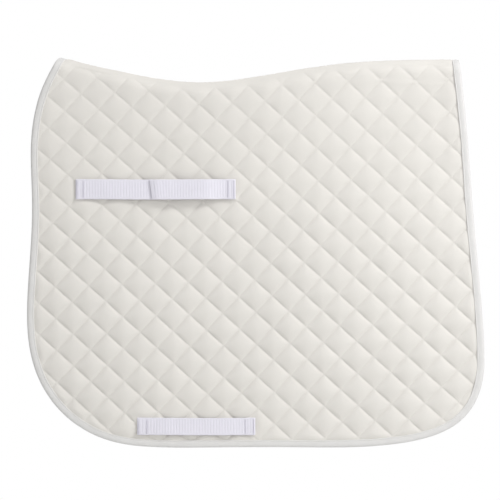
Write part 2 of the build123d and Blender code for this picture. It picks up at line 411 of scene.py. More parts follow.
# Where straps are sewn down, the pad is pressed flat: centre, half length, half height.
girth_low, girth_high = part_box("near_girth_strap")
billet_low, billet_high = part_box("near_billet_strap_front")
rear_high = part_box("near_billet_strap_rear_end")[1]
GIRTH_Z = (girth_low.z + girth_high.z) / 2
BILLET_Z = (billet_low.z + billet_high.z) / 2
SEWN = 17 * MM
PRESSED = (
    (billet_low.x + SEWN / 2, BILLET_Z, SEWN / 2, 15 * MM),
    (rear_high.x - SEWN / 2, BILLET_Z, SEWN / 2, 15 * MM),
    (girth_low.x + SEWN / 2, GIRTH_Z, SEWN / 2, 13 * MM),
    (girth_high.x - SEWN / 2, GIRTH_Z, SEWN / 2, 13 * MM),
)


def lay_out_quilt():
    """Flat grid of one side: its points, their lattice places, its quads and which points lie inside."""
    low, high = lattice_range()
    s = (np.arange(low[0], high[0])[:, None] + STEPS[None, :]).ravel()
    t = (np.arange(low[1], high[1])[:, None] + STEPS[None, :]).ravel()
    grid_s, grid_t = np.meshgrid(s, t, indexing="ij")
    points = quilt_point(grid_s, grid_t).reshape(-1, 2)
    within = np.zeros(len(points), bool)
    near = np.all((points > LOOP.min(0)) & (points < LOOP.max(0)), axis=1)
    within[near] = inside(points[near], LOOP)
    number = np.arange(len(points)).reshape(len(s), len(t))
    quads = np.stack([number[:-1, :-1], number[1:, :-1], number[1:, 1:], number[:-1, 1:]], axis=-1)
    quads = quads.reshape(-1, 4)
    quads = quads[within[quads].any(axis=1)]
    used = np.unique(quads)
    renumber = np.full(len(points), -1)
    renumber[used] = np.arange(len(used))
    points, within = points[used], within[used]
    places = np.stack([grid_s.ravel()[used], grid_t.ravel()[used]], axis=1)
    _, index = nearest(points[~within], LOOP_FINE)
    points[~within] = LOOP_FINE[index]
    return points, places, renumber[quads], within


def pressing(points):
    """How fully a strap's sewn end holds the pad flat at these places, from 0 to 1."""
    pressed = np.zeros(len(points))
    for x, z, half_length, half_height in PRESSED:
        away = np.maximum(np.abs(points[:, 0] - x) - half_length, np.abs(points[:, 1] - z) - half_height)
        pressed = np.maximum(pressed, 1 - smooth_step(away, 0, PRESS_FADE))
    return pressed


def puffing(points, places, from_spine):
    """How full each cell is at each point, and how near a seam the point lies."""
    share = places - np.floor(places)
    seam = np.minimum(share, 1 - share).min(axis=1)
    dome = (np.sin(np.pi * share[:, 0]) * np.sin(np.pi * share[:, 1])) ** DOME_POWER
    crisp = 1 - np.exp(-seam / CRISP_REACH)
    cell_s, cell_t = np.floor(places + 1e-6).astype(int).T
    uneven = np.sin(cell_s * 12.9 + cell_t * 78.2) * np.sin(cell_s * 4.1 - cell_t * 9.7)
    fullness = 1 + UNEVEN * uneven
    pucker = np.sin(points[:, 0] / (1.9 * MM) + np.sin(points[:, 1] / (7 * MM)) * 2.1)
    pucker *= np.sin(points[:, 1] / (2.3 * MM) + np.sin(points[:, 0] / (9 * MM)) * 1.7)
    fullness *= TOP_FULLNESS + ADDED_FULLNESS * smooth_step(from_spine, 0, FULL_DEPTH)
    puff = (DOME_SHARE * dome + CRISP_SHARE * crisp) * fullness
    puff = puff + PUCKER * pucker * np.exp(-seam / 0.14) * (seam > ON_SEAM)
    return puff, seam


def relief(points, places, within):
    """Height of each cloth out of the mid-surface, and where it is held by sewing."""
    edge, _ = nearest(points, EDGE_FINE)
    from_spine = seam_height(points[:, 0]) - points[:, 1]
    puff, seam = puffing(points, places, from_spine)
    free = smooth_step(edge, COVERED, COVERED + 3.5 * MM)
    free *= smooth_step(from_spine, SPINE_BAND, SPINE_BAND + 3.5 * MM)
    pressed = pressing(points)
    free *= 1 - pressed
    puff *= free
    band = 1 - smooth_step(from_spine, SPINE_BAND, SPINE_BAND + 2 * MM)
    arch = smooth_step(from_spine, 0, 3.5 * MM) * (1 - 0.75 * smooth_step(from_spine, 6 * MM, SPINE_BAND))
    held = (seam < ON_SEAM) | (edge < COVERED + 0.3 * MM) | (from_spine < SPINE_BAND + 0.5 * MM)
    held |= pressed > 0.9
    covered = 1 - smooth_step(edge, COVERED, COVERED + 2.5 * MM)
    base_out = SEAM_OUT + 3.2 * MM * band * arch + PRESSED_RISE * pressed * (1 - band)
    base_in = SEAM_IN - 0.1 * MM * band
    base_out = base_out * (1 - covered) + UNDER_TAPE * covered
    base_in = base_in * (1 - covered) - UNDER_TAPE * covered
    return base_out, base_in, puff, held | ~within


def thicken(points, quads, outer, inner):
    """Joins an outer and an inner sheet over the same grid into one closed shape."""
    count = len(points)
    top = np.column_stack([points, outer])
    bottom = np.column_stack([points, inner])
    edges = np.concatenate([quads[:, [k, (k + 1) % 4]] for k in range(4)])
    key = np.sort(edges, axis=1)
    _, first, uses = np.unique(key, axis=0, return_index=True, return_counts=True)
    rim = edges[first[uses == 1]]
    walls = np.stack([rim[:, 1], rim[:, 0], rim[:, 0] + count, rim[:, 1] + count], axis=1)
    faces = np.vstack([quads, quads[:, ::-1] + count, walls])
    return np.vstack([top, bottom]), faces


def make_mesh(name, points, faces, flip=False, uv=None):
    """A mesh object from points in place; uv gives each point's place on the flat cloth."""
    mesh = bpy.data.meshes.new(name)
    faces = [list(face)[::-1] if flip else list(face) for face in faces]
    mesh.from_pydata([tuple(p) for p in np.asarray(points, float)], [], faces)
    mesh.validate()
    if uv is not None:
        layer = mesh.uv_layers.new(name="flat")
        corner = np.empty(len(mesh.loops), np.int32)
        mesh.loops.foreach_get("vertex_index", corner)
        layer.data.foreach_set("uv", np.asarray(uv, np.float32)[corner].ravel())
    mesh.shade_smooth()
    mesh.update()
    obj = bpy.data.objects.new(name, mesh)
    bpy.context.scene.collection.objects.link(obj)
    return obj


PRESSURE = 4.0
EASE = -0.02  # the cloths are cut this much fuller than the space between seams
SIM_FRAMES = 16
HIGHEST_OUT, LOWEST_IN = 5.8 * MM, -4.8 * MM
SIDE_PLAY, SINK = 1.5 * MM, 0.3 * MM  # the most that the cloth may slide sideways, or sink at a seam


def puff_up(points, faces, held):
    """Blows the sewn cloth up from inside, as its wadding does, and returns the points."""
    obj = make_mesh("cloth_in_work", points[:, [0, 2, 1]] * [1, -1, 1], faces)
    group = obj.vertex_groups.new(name="sewn")
    group.add([int(i) for i in np.flatnonzero(held)], 1.0, "REPLACE")
    modifier = obj.modifiers.new("cloth", "CLOTH")
    cloth = modifier.settings
    cloth.quality = 6
    cloth.mass = 0.25
    cloth.air_damping = 3.0
    cloth.tension_stiffness = 18
    cloth.compression_stiffness = 14
    cloth.shear_stiffness = 6
    cloth.bending_stiffness = 0.08
    cloth.tension_damping = 8
    cloth.compression_damping = 8
    cloth.shear_damping = 8
    cloth.vertex_group_mass = "sewn"
    cloth.pin_stiffness = 1.0
    cloth.shrink_min = EASE
    cloth.shrink_max = EASE
    cloth.use_pressure = True
    cloth.uniform_pressure_force = PRESSURE
    cloth.effector_weights.gravity = 0
    modifier.collision_settings.use_collision = False
    modifier.point_cache.frame_start = 1
    modifier.point_cache.frame_end = SIM_FRAMES
    scene = bpy.context.scene
    for number in range(1, SIM_FRAMES + 1):
        scene.frame_set(number)
    result = obj.evaluated_get(bpy.context.evaluated_depsgraph_get())
    places = np.empty(len(points) * 3)
    result.data.vertices.foreach_get("co", places)
    places = places.reshape(-1, 3)[:, [0, 2, 1]] * [1, 1, -1]
    scene.frame_set(1)
    bpy.data.objects.remove(obj)
    return places


def slack(points):
    """Slow waves of the hung cloth, and a fold under the spine near the rear, dying out at the edge."""
    x, v = points[:, 0] / MM, points[:, 1] / MM
    rise = 0.7 * np.sin(x / 71 + v / 130 + 0.4) + 0.5 * np.sin(v / 59 - x / 113 + 1.9)
    fold_line = 16.0 - 0.05 * (x - 300) + 0.4 * np.sin(x / 17)
    length = smooth_step(x, 240, 285) * (1 - smooth_step(x, 350, 385))
    across = (v - fold_line) / 1.9
    rise += length * (0.75 * np.exp(-((across + 1.3) ** 2)) - 0.85 * np.exp(-(across ** 2)))
    return rise * MM * smooth_step(nearest(points[:, :2], EDGE_FINE)[0], 10 * MM, 40 * MM)


def quilt():
    """Both cloths of one side, flat, with their wadding puffed up between the seams."""
    points, places, quads, within = lay_out_quilt()
    base_out, base_in, puff, held = relief(points, places, within)
    outer = base_out + PUFF_OUT * puff
    inner = base_in - PUFF_IN * puff
    solid, faces = thicken(points, quads, outer, inner)
    blown = puff_up(solid, faces, np.concatenate([held, held]))
    count = len(points)
    move = blown - solid
    move[:, :2] = np.clip(move[:, :2], -SIDE_PLAY, SIDE_PLAY)
    solid = solid + move
    solid[:count, 2] = np.clip(solid[:count, 2], base_out - SINK, HIGHEST_OUT)
    solid[count:, 2] = np.clip(solid[count:, 2], LOWEST_IN, base_in + SINK)
    return solid, faces


QUILT, QUILT_FACES = quilt()
QUILT[:, 2] += slack(QUILT)

# ------------------------------------------------------------------- materials
def link_math(nodes, links, operation, first, second=None):
    """A math node fed by sockets or plain numbers."""
    node = nodes.new("ShaderNodeMath")
    node.operation = operation
    for socket, value in zip(node.inputs, (first, second)):
        if value is None:
            continue
        if hasattr(value, "links"):
            links.new(value, socket)
        else:
            socket.default_value = value
    return node.outputs[0]


def make_weave_group():
    """Plain weave: over-and-under threads as a height from 0 to 1."""
    group = bpy.data.node_groups.new("plain_weave", "ShaderNodeTree")
    group.interface.new_socket("Place", in_out="INPUT", socket_type="NodeSocketVector")
    group.interface.new_socket("Threads", in_out="INPUT", socket_type="NodeSocketFloat")
    group.interface.new_socket("Height", in_out="OUTPUT", socket_type="NodeSocketFloat")
    nodes, links = group.nodes, group.links
    start, end = nodes.new("NodeGroupInput"), nodes.new("NodeGroupOutput")
    scaled = nodes.new("ShaderNodeVectorMath")
    scaled.operation = "SCALE"
    links.new(start.outputs["Place"], scaled.inputs[0])
    links.new(start.outputs["Threads"], scaled.inputs["Scale"])
    parts = nodes.new("ShaderNodeSeparateXYZ")
    links.new(scaled.outputs[0], parts.inputs[0])
    warp = link_math(nodes, links, "SINE", link_math(nodes, links, "MULTIPLY", parts.outputs[0], math.pi))
    weft = link_math(nodes, links, "SINE", link_math(nodes, links, "MULTIPLY", parts.outputs[1], math.pi))
    over = link_math(nodes, links, "GREATER_THAN", link_math(nodes, links, "MULTIPLY", warp, weft), 0.0)
    mix = nodes.new("ShaderNodeMix")
    links.new(over, mix.inputs[0])
    links.new(link_math(nodes, links, "ABSOLUTE", warp), mix.inputs[2])
    links.new(link_math(nodes, links, "ABSOLUTE", weft), mix.inputs[3])
    links.new(mix.outputs[0], end.inputs[0])
    return group


WEAVE = make_weave_group()


def make_cloth_paint(name, colour, threads=0, weave_depth=0.0, fuzz=0.1, mottle=0.03, sheen=0.04,
                     rough=0.85):
    """Woven or knitted textile: slow shade changes, a fuzzy surface and, if given, a weave."""
    paint = bpy.data.materials.new(name)
    paint.use_nodes = True
    nodes, links = paint.node_tree.nodes, paint.node_tree.links
    shader = nodes["Principled BSDF"]
    shader.inputs["Roughness"].default_value = rough
    shader.inputs["Sheen Weight"].default_value = sheen
    shader.inputs["Sheen Roughness"].default_value = 0.5
    shader.inputs["Specular IOR Level"].default_value = 0.2
    place = nodes.new("ShaderNodeTexCoord")
    shade = nodes.new("ShaderNodeTexNoise")
    shade.inputs["Scale"].default_value = 26.0
    shade.inputs["Detail"].default_value = 3.0
    links.new(place.outputs["Object"], shade.inputs["Vector"])
    ramp = nodes.new("ShaderNodeMapRange")
    ramp.inputs["From Min"].default_value = 0.3
    ramp.inputs["From Max"].default_value = 0.7
    ramp.inputs["To Min"].default_value = 1.0 - mottle
    ramp.inputs["To Max"].default_value = 1.0
    links.new(shade.outputs["Fac"], ramp.inputs["Value"])
    tint = nodes.new("ShaderNodeVectorMath")
    tint.operation = "SCALE"
    tint.inputs[0].default_value = colour
    links.new(ramp.outputs["Result"], tint.inputs["Scale"])
    links.new(tint.outputs[0], shader.inputs["Base Color"])
    fibres = nodes.new("ShaderNodeTexNoise")
    fibres.inputs["Scale"].default_value = 900.0
    fibres.inputs["Detail"].default_value = 4.0
    links.new(place.outputs["Object"], fibres.inputs["Vector"])
    bump = nodes.new("ShaderNodeBump")
    bump.inputs["Strength"].default_value = fuzz
    bump.inputs["Distance"].default_value = 0.0004
    links.new(fibres.outputs["Fac"], bump.inputs["Height"])
    last = bump
    if threads:
        flat = nodes.new("ShaderNodeUVMap")
        flat.uv_map = "flat"
        weave = nodes.new("ShaderNodeGroup")
        weave.node_tree = WEAVE
        weave.inputs["Threads"].default_value = threads
        links.new(flat.outputs[0], weave.inputs["Place"])
        woven = nodes.new("ShaderNodeBump")
        woven.inputs["Strength"].default_value = weave_depth
        woven.inputs["Distance"].default_value = 0.0003
        links.new(weave.outputs[0], woven.inputs["Height"])
        links.new(bump.outputs[0], woven.inputs["Normal"])
        last = woven
    links.new(last.outputs[0], shader.inputs["Normal"])
    return paint


COTTON = make_cloth_paint("cream_cotton", (0.775, 0.752, 0.712), 1600, 0.25)
BINDING = make_cloth_paint("binding_twill", (0.745, 0.738, 0.728), 1400, 0.3, mottle=0.02)
SEAM_TAPE = make_cloth_paint("seam_tape_twill", (0.79, 0.78, 0.76), 1400, 0.3)
WEBBING = make_cloth_paint("cotton_webbing", (0.82, 0.805, 0.885), 900, 0.4, mottle=0.04)
THREAD = make_cloth_paint("sewing_thread", (0.80, 0.78, 0.74), fuzz=0.05, mottle=0.0, rough=0.7)
STRAP_THREAD = make_cloth_paint("strap_thread", (0.76, 0.745, 0.815), fuzz=0.05, mottle=0.0,
                                rough=0.7)
HOOKS = make_cloth_paint("nylon_hooks", (0.74, 0.74, 0.74), fuzz=0.05, mottle=0.0, rough=0.5)
LOOPS = make_cloth_paint("nylon_loops", (0.78, 0.78, 0.78), fuzz=0.9, mottle=0.08, sheen=0.4)


def finish_piece(obj, paint, nodes=(), body=None, bend=None):
    """Paints a piece, hides the CAD nodes that it stands for, and hangs it on its body, or blends it between
    two bodies where it bends.
    """
    if not obj.data.materials:
        obj.data.materials.append(paint)
    if nodes:
        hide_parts(*nodes)
    if bend:
        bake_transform(obj, *bend)
    else:
        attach(obj, body)
    return obj


FOLD_BEND_TOP, FOLD_BEND_FOOT = FOLD + 25 * MM, FOLD - 30 * MM


def fold_bend(name, sign):
    """How cloth that crosses the fold bends from the spine to a side."""
    y = sign * MIDDLE
    return "spine", f"{name}_side", (0, y, FOLD_BEND_TOP), (0, y, FOLD_BEND_FOOT)


# -------------------------------------------------------------------- stitching
def make_stitch_group():
    """Geometry nodes that put a stitch on every point, turned along its heading."""
    group = bpy.data.node_groups.new("lay_stitches", "GeometryNodeTree")
    group.interface.new_socket("Places", in_out="INPUT", socket_type="NodeSocketGeometry")
    for name in ("Length", "Thickness"):
        group.interface.new_socket(name, in_out="INPUT", socket_type="NodeSocketFloat")
    group.interface.new_socket("Thread", in_out="INPUT", socket_type="NodeSocketMaterial")
    group.interface.new_socket("Stitches", in_out="OUTPUT", socket_type="NodeSocketGeometry")
    nodes, links = group.nodes, group.links
    start, end = nodes.new("NodeGroupInput"), nodes.new("NodeGroupOutput")
    stitch = nodes.new("GeometryNodeMeshUVSphere")
    stitch.inputs["Segments"].default_value = 4
    stitch.inputs["Rings"].default_value = 4
    stitch.inputs["Radius"].default_value = 0.5
    heading = nodes.new("GeometryNodeInputNamedAttribute")
    heading.data_type = "FLOAT_VECTOR"
    heading.inputs["Name"].default_value = "heading"
    turn = nodes.new("FunctionNodeAlignRotationToVector")
    turn.axis = "Z"
    links.new(heading.outputs["Attribute"], turn.inputs["Vector"])
    vary = nodes.new("FunctionNodeRandomValue")
    vary.data_type = "FLOAT"
    vary.inputs["Seed"].default_value = 7
    smallest = next(s for s in vary.inputs if s.name == "Min" and s.type == "VALUE")
    largest = next(s for s in vary.inputs if s.name == "Max" and s.type == "VALUE")
    smallest.default_value, largest.default_value = 0.9, 1.06
    chance = next(s for s in vary.outputs if s.type == "VALUE")
    longer = nodes.new("ShaderNodeMath")
    longer.operation = "MULTIPLY"
    links.new(start.outputs["Length"], longer.inputs[0])
    links.new(chance, longer.inputs[1])
    size = nodes.new("ShaderNodeCombineXYZ")
    links.new(start.outputs["Thickness"], size.inputs[0])
    links.new(start.outputs["Thickness"], size.inputs[1])
    links.new(longer.outputs[0], size.inputs[2])
    place = nodes.new("GeometryNodeInstanceOnPoints")
    links.new(start.outputs["Places"], place.inputs["Points"])
    links.new(stitch.outputs["Mesh"], place.inputs["Instance"])
    links.new(turn.outputs[0], place.inputs["Rotation"])
    links.new(size.outputs[0], place.inputs["Scale"])
    real = nodes.new("GeometryNodeRealizeInstances")
    links.new(place.outputs[0], real.inputs[0])
    paint = nodes.new("GeometryNodeSetMaterial")
    links.new(real.outputs[0], paint.inputs["Geometry"])
    links.new(start.outputs["Thread"], paint.inputs["Material"])
    links.new(paint.outputs[0], end.inputs[0])
    return group


STITCH_GROUP = make_stitch_group()


def sew(name, centres, headings, length, thickness, paint=THREAD):
    """Stitches of one thread, as a plain mesh."""
    places = bpy.data.meshes.new(name + "_places")
    places.from_pydata([tuple(p) for p in centres], [], [])
    turn = places.attributes.new("heading", "FLOAT_VECTOR", "POINT")
    turn.data.foreach_set("vector", np.asarray(headings, np.float32).ravel())
    holder = bpy.data.objects.new(name + "_places", places)
    bpy.context.scene.collection.objects.link(holder)
    modifier = holder.modifiers.new("stitches", "NODES")
    modifier.node_group = STITCH_GROUP
    values = {"Length": length, "Thickness": thickness, "Thread": paint}
    for item in STITCH_GROUP.interface.items_tree:
        if item.in_out == "INPUT" and item.name in values:
            modifier[item.identifier] = values[item.name]
    holder.update_tag()
    evaluated = holder.evaluated_get(bpy.context.evaluated_depsgraph_get())
    mesh = bpy.data.meshes.new_from_object(evaluated)
    mesh.name = name
    mesh.shade_smooth()
    for attribute in [a.name for a in mesh.attributes if a.name == "heading"]:
        mesh.attributes.remove(mesh.attributes[attribute])
    bpy.data.objects.remove(holder)
    obj = bpy.data.objects.new(name, mesh)
    bpy.context.scene.collection.objects.link(obj)
    return obj


def pace(line, pitch):
    """Stitch centres and headings at even steps along a line in space."""
    steps = np.linalg.norm(np.diff(line, axis=0), axis=1)
    along = np.concatenate([[0], np.cumsum(steps)])
    count = int(along[-1] / pitch)
    if count < 1:
        return np.empty((0, 3)), np.empty((0, 3))
    at = (np.arange(count) + 0.5) * along[-1] / count
    ends = [np.stack([np.interp(at + d, along, line[:, k]) for k in range(3)], axis=1) for d in
            (-0.4 * pitch, 0.4 * pitch)]
    return (ends[0] + ends[1]) / 2, ends[1] - ends[0]


def sew_rows(name, rows, pitch, length, thickness, paint=THREAD):
    """One object of stitches along several lines in space."""
    pairs = [pace(np.asarray(row), pitch) for row in rows]
    centres = np.vstack([p[0] for p in pairs])
    headings = np.vstack([p[1] for p in pairs])
    return sew(name, centres, headings, length, thickness, paint)


SEAM_STEP = 0.04  # share of a cell between the points of a seam's line
QUILTING_PITCH, QUILTING_LENGTH = 3.2 * MM, 2.5 * MM
BINDING_PITCH, BINDING_LENGTH = 2.9 * MM, 2.3 * MM
THREAD_THICKNESS = 0.5 * MM


def quilting_lines():
    """Flat lines of the diamond seams, cut where the binding and the spine band begin."""
    first, last = lattice_range()
    lines = []
    for axis in (0, 1):
        for whole in range(first[axis], last[axis] + 1):
            run = np.arange(first[1 - axis], last[1 - axis], SEAM_STEP)
            fixed = np.full(len(run), whole)
            line = quilt_point(fixed, run) if axis == 0 else quilt_point(run, fixed)
            kept = inside(line, LOOP)
            kept[kept] &= nearest(line[kept], EDGE_FINE)[0] > ROWS_START
            kept &= seam_height(line[:, 0]) - line[:, 1] > SPINE_BAND + 1 * MM
            cuts = np.flatnonzero(np.diff(np.concatenate([[0], kept.astype(int), [0]])))
            lines += [line[a:b] for a, b in zip(cuts[::2], cuts[1::2]) if b - a > 3]
    return lines


SEAM_LINES = quilting_lines()


def on_cloth(line, out, sign):
    """A flat line laid on the outer or inner cloth of one side, in place."""
    if out:
        w = SEAM_OUT + PRESSED_RISE * pressing(line) + STITCH_LIFT
    else:
        w = np.full(len(line), SEAM_IN - STITCH_LIFT)
    laid = np.column_stack([line, w])
    laid[:, 2] += slack(laid)
    return hang(laid, sign)


def along_spine(inset, w):
    """A flat line that follows the spine seam a set distance below it, bindings excepted."""
    x = np.linspace(EDGE[0, 0], EDGE[-1, 0], 700)
    line = np.column_stack([x, seam_height(x) - inset])
    clear = inside(line, LOOP)
    clear[clear] &= nearest(line[clear], EDGE_FINE)[0] > ROWS_START
    line = line[clear]
    return np.column_stack([line, np.full(len(line), w)])


def tube_faces(rows, count, turned=False):
    """Faces of a tube with count points round its section, and its two end caps."""
    number = np.arange(rows * count).reshape(rows, count)
    after = np.roll(number, -1, axis=1)
    corners = [number[:-1], number[1:], after[1:], after[:-1]]
    caps = [number[0], number[-1][::-1]]
    if turned:
        corners = corners[:1] + corners[:0:-1]
        caps = [cap[::-1] for cap in caps]
    quads = np.stack(corners, axis=-1).reshape(-1, 4)
    return [list(face) for face in (*quads, *caps)]


# ---------------------------------------------------------------------- binding
# Distance in from the edge and height out of the mid-surface, in mm, round the tape's section.
BINDING_SECTION = (
    (10.25, 2.2), (10.5, 2.6), (10.45, 3.2), (10.1, 3.65), (9.6, 3.75), (9.1, 3.55), (8.6, 3.4), (8.1, 3.5),
    (7.2, 3.68), (5.8, 3.78), (4.2, 3.78), (2.6, 3.65), (1.3, 3.2), (0.5, 2.3), (0.1, 1.1), (0.0, 0.0),
    (0.15, -1.0), (0.65, -2.2), (1.5, -3.1), (2.7, -3.55), (4.2, -3.75), (5.8, -3.7), (7.2, -3.5),
    (8.0, -3.3), (8.45, -3.2), (8.85, -3.35), (9.35, -3.7), (9.9, -3.75), (10.35, -3.3), (10.3, -2.3),
    (8.5, -2.25), (5.0, -2.3), (2.6, -2.2), (1.7, -1.5), (1.4, 0.0), (1.7, 1.5), (2.6, 2.2), (5.0, 2.3),
    (8.5, 2.25),
)
BINDING_ROW = 8.5  # mm in from the edge


def bind_edge(name, sign):
    """Tape folded over the edge of one side, from the front of the spine to the rear."""
    section = np.array(BINDING_SECTION) * MM
    keep = EDGE[:, 1] < seam_height(EDGE[:, 0]) - MEETING
    rim, inward_way = EDGE[keep], EDGE_IN[keep]
    along = np.concatenate([[0], np.cumsum(np.linalg.norm(np.diff(rim, axis=0), axis=1))])
    points, flat = [], []
    lift = 0.13 * MM * np.sin(along / (5.3 * MM)) + 0.16 * MM * np.sin(along / (17 * MM) + 1.3)
    hem = 0.25 * MM * np.sin(along / (37 * MM)) + 0.12 * MM * np.sin(along / (9 * MM) + 0.5)
    for distance, w in section:
        share = distance / (10 * MM)
        puckered = w + np.sign(w) * lift * (abs(w) > 2.6 * MM)
        place = rim + inward_way * (distance + hem * share)[:, None]
        place[:, 1] = np.minimum(place[:, 1], seam_height(place[:, 0]) - MEETING)
        points.append(np.column_stack([place, puckered + np.zeros(len(rim))]))
        flat.append(np.column_stack([along, np.full(len(rim), distance + (w < 0) * 0.02)]))
    points, flat = np.stack(points, axis=1), np.stack(flat, axis=1)
    faces = tube_faces(*points.shape[:2], turned=True)
    placed = hang(points.reshape(-1, 3), sign)
    return make_mesh(f"{name}_binding", placed, faces, flip=sign > 0, uv=flat.reshape(-1, 2))


def binding_row(sign, out):
    """The line of stitching that holds the binding, on the outer or the inner face."""
    keep = EDGE[:, 1] < seam_height(EDGE[:, 0]) - MEETING - 2 * MM
    line = EDGE[keep] + EDGE_IN[keep] * BINDING_ROW * MM
    line = line[line[:, 1] < seam_height(line[:, 0]) - 1.5 * MM]
    w = np.full(len(line), 3.42 * MM if out else -3.3 * MM)
    return hang(np.column_stack([line, w]), sign)


# ----------------------------------------------------------------------- straps
RIB_PITCH, RIB_DEPTH = 4.12 * MM, 0.28 * MM
WEBBING_STEP = 0.34 * MM
SELVEDGE_DEPTH = 0.16 * MM
WEBBING_HALF = 0.78 * MM  # half its thickness
SLANT_REACH = 0.03  # m from an end over which the webbing's slant dies out
# Places across half the webbing, as shares of its half width, close together at the selvedge.
ACROSS_EDGE = (0.8, 0.86, 0.9, 0.95, 0.985, 1)


def weave_strap(name, path, width, height, sign, slants=(0.0, 0.0)):
    """Ribbed webbing along a path of (x, distance out from the centre plane), at one height."""
    path = resample(np.asarray(path, float), WEBBING_STEP)
    heading = np.gradient(path, axis=0)
    heading /= np.linalg.norm(heading, axis=1)[:, None]
    out = np.stack([-heading[:, 1], heading[:, 0]], axis=1)
    along = np.arange(len(path)) * WEBBING_STEP
    ribs = RIB_DEPTH * (np.abs(np.sin(np.pi * along / RIB_PITCH)) - 0.6)
    across = np.array([*(-q for q in ACROSS_EDGE[::-1]), -0.5, -0.2, 0.1, 0.4, *ACROSS_EDGE])
    thick = WEBBING_HALF * np.sqrt(np.clip(1 - np.abs(across) ** 26, 0.02, 1))
    selvedge = np.exp(-((np.abs(across) - 0.93) / 0.035) ** 2) * SELVEDGE_DEPTH
    ribbed = 1 - smooth_step(np.abs(across), 0.82, 0.88)
    wander = 0.25 * MM * np.sin(along / (31 * MM) + 0.8)
    lean = slants[0] * (1 - smooth_step(along, 0, SLANT_REACH))
    lean = lean + slants[1] * smooth_step(along, along[-1] - SLANT_REACH, along[-1])
    rings, flat = [], []
    for face in (1, -1):
        order = across if face > 0 else across[::-1]
        for q in order:
            k = np.flatnonzero(across == q)[0]
            reach = face * (thick[k] + selvedge[k] * (abs(q) < 0.99) + ribs * ribbed[k])
            plan = path + out * reach[:, None]
            x = plan[:, 0] + lean * q * width / 2
            z = height + q * width / 2 * (1 + 0.006 * np.sin(along / (3.1 * MM))) + wander
            rings.append(np.stack([x, sign * plan[:, 1], z], axis=1))
            flat.append(np.column_stack([along, np.full(len(along), q * width / 2)]))
    points, flat = np.stack(rings, axis=1), np.stack(flat, axis=1)
    faces = tube_faces(*points.shape[:2])
    return make_mesh(name, points.reshape(-1, 3), faces, flip=sign > 0, uv=flat.reshape(-1, 2))


def loop_path(start, end, seat, raised, ramp_start, ramp_length, end_sewn=True, tuck=12 * MM):
    """A strap's centre line: sewn ends, turned under, and a raised middle to pass things through."""
    lower, upper = seat, seat + 1.72 * MM
    turn = 0.85 * MM
    arc = [(math.sin(a), math.cos(a)) for a in np.linspace(math.pi, 0, 9)]
    heading = 1 if end > start else -1
    climb = [(r * ramp_length, (raised - upper) * float(smooth_step(r, 0, 1))) for r in np.linspace(0, 1, 12)]
    path = [(start + heading * tuck, lower)]
    path += [(start + heading * (turn - turn * s), lower + turn * (1 + c)) for s, c in arc]
    path += [(start + heading * (ramp_start + far), upper + rise) for far, rise in climb]
    if end_sewn:
        path += [(end - heading * (ramp_start + far), upper + rise) for far, rise in climb[::-1]]
        path += [(end - heading * (turn - turn * s), lower + turn * (1 + c)) for s, c in arc[::-1]]
        path += [(end - heading * tuck, lower)]
    else:
        path += [(end, raised)]
    return path


def tack_places(node):
    """Middle of each bar tack along a strap."""
    xs = np.unique([v.co.x for v in frame["nodes"][node].data.vertices])
    groups = np.split(xs, np.flatnonzero(np.diff(xs) > 2.5 * MM) + 1)
    return [(g[0] + g[-1]) / 2 for g in groups]


def bar_tacks(name, node, body, height, width, sign):
    """Dense cross stitches that hold a strap's ends."""
    centres = []
    for x in tack_places(node):
        steps = np.arange(-width / 2 + 2.2 * MM, width / 2 - 2 * MM, 0.7 * MM)
        lean = 0.3 * MM * np.sign(np.sin(np.arange(len(steps)) * math.pi + 1))
        centres.append(np.column_stack([x + lean, np.full(len(steps), sign * TACK_FACE), height + steps]))
    centres = np.vstack(centres)
    headings = np.tile([1.0, 0.0, 0.22], (len(centres), 1))
    obj = sew(name, centres, headings, 2.3 * MM, 0.5 * MM, STRAP_THREAD)
    return finish_piece(obj, STRAP_THREAD, [node], body=body)


def lay_patch(name, start, end, height, width, low, high, sign):
    """A thin flat patch with rounded corners, on a strap's face."""
    corner = 2.5 * MM
    outline = []
    for quarter, (cx, cz) in enumerate(((1, 1), (-1, 1), (-1, -1), (1, -1))):
        for angle in np.linspace(0, math.pi / 2, 6) + quarter * math.pi / 2:
            outline.append(((end - start) / 2 * cx - corner * cx + corner * math.cos(angle),
                            width / 2 * cz - corner * cz + corner * math.sin(angle)))
    outline = np.array(outline)
    middle = np.array([(start + end) / 2, height])
    rings = []
    for inset, out in ((0.3 * MM, low), (0, low + 0.2 * MM), (0, high - 0.25 * MM), (0.3 * MM, high)):
        scale = 1 - inset / (np.abs(outline).max(0))
        ring = outline * scale + middle
        rings.append(np.column_stack([ring[:, 0], np.full(len(ring), sign * out), ring[:, 1]]))
    points = np.vstack(rings)
    count = len(outline)
    faces = []
    for low_ring in range(0, 3 * count, count):
        high_ring = low_ring + count
        for k in range(count):
            after = (k + 1) % count
            faces.append([low_ring + k, low_ring + after, high_ring + after, high_ring + k])
    faces.append(list(range(count))[::-1])
    faces.append(list(range(3 * count, 4 * count)))
    return make_mesh(name, points, faces, flip=sign > 0, uv=points[:, [0, 2]])


# --------------------------------------------------------------- put it together
SLACK = 4.9 * MM  # how much nearer the pad the straps lie than when something is through them
PRESSED_FACE = MIDDLE + SEAM_OUT + PRESSED_RISE
SEAT = PRESSED_FACE + 0.95 * MM  # middle of the turned-under webbing, from the centre plane
TACK_FACE = SEAT + 2.75 * MM
RAISED = -billet_low.y - 0.85 * MM - SLACK
OVER = -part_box("near_billet_strap_rear")[0].y - 0.85 * MM - SLACK
BILLET_WIDTH = billet_high.z - billet_low.z
GIRTH_WIDTH = girth_high.z - girth_low.z


def patch_for(name, node, sign):
    """The patch that stands for a CAD patch, as near the pad as the straps; and its inner face."""
    low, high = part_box(node)
    inner, outer = (abs(y) - SLACK for y in sorted((low.y, high.y), key=abs))
    return lay_patch(name, low.x, high.x, BILLET_Z, high.z - low.z, inner, outer, sign), inner


